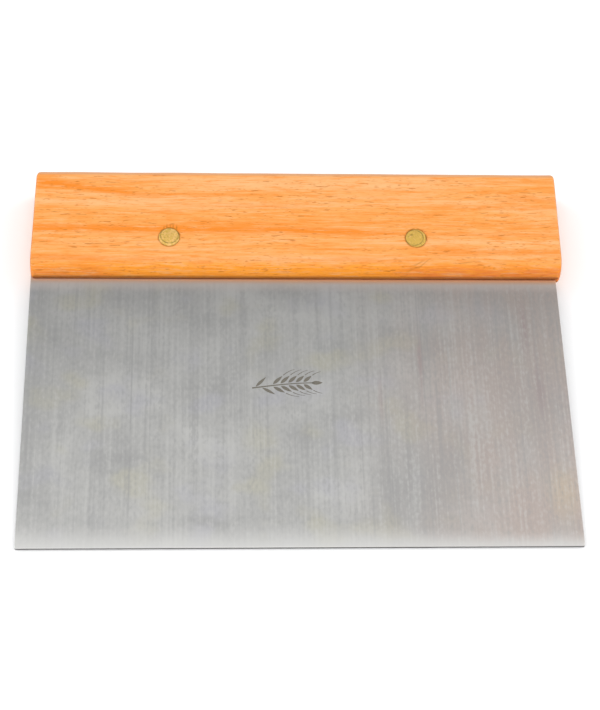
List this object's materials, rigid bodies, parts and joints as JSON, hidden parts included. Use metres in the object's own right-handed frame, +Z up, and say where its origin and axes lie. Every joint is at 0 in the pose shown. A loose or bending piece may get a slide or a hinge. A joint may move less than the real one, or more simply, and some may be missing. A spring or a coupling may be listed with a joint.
{
  "type": "bench scraper",
  "caption": "Bench scraper: flat square stainless sheet held in the kerf of a round-nosed wooden bar handle by peened brass pins, for cutting dough and clearing a work surface.",
  "frame": {"origin": "middle of the footprint of the tool lying on its back, on the surface it lies on", "axes": "+X along the width, to the right with the front face up and the working edge towards the viewer; +Y from the working edge to the handle; +Z up"},
  "size_m": [0.1516, 0.1155, 0.012],
  "materials": {
    "lacquered_wood": "satin",
    "brushed_stainless": "satin",
    "brass": "satin"
  },
  "bodies": {
    "root": {"handle": "lacquered_wood", "blade": "brushed_stainless", "rivet_left": "brass", "rivet_right": "brass"}
  },
  "joints": []
}
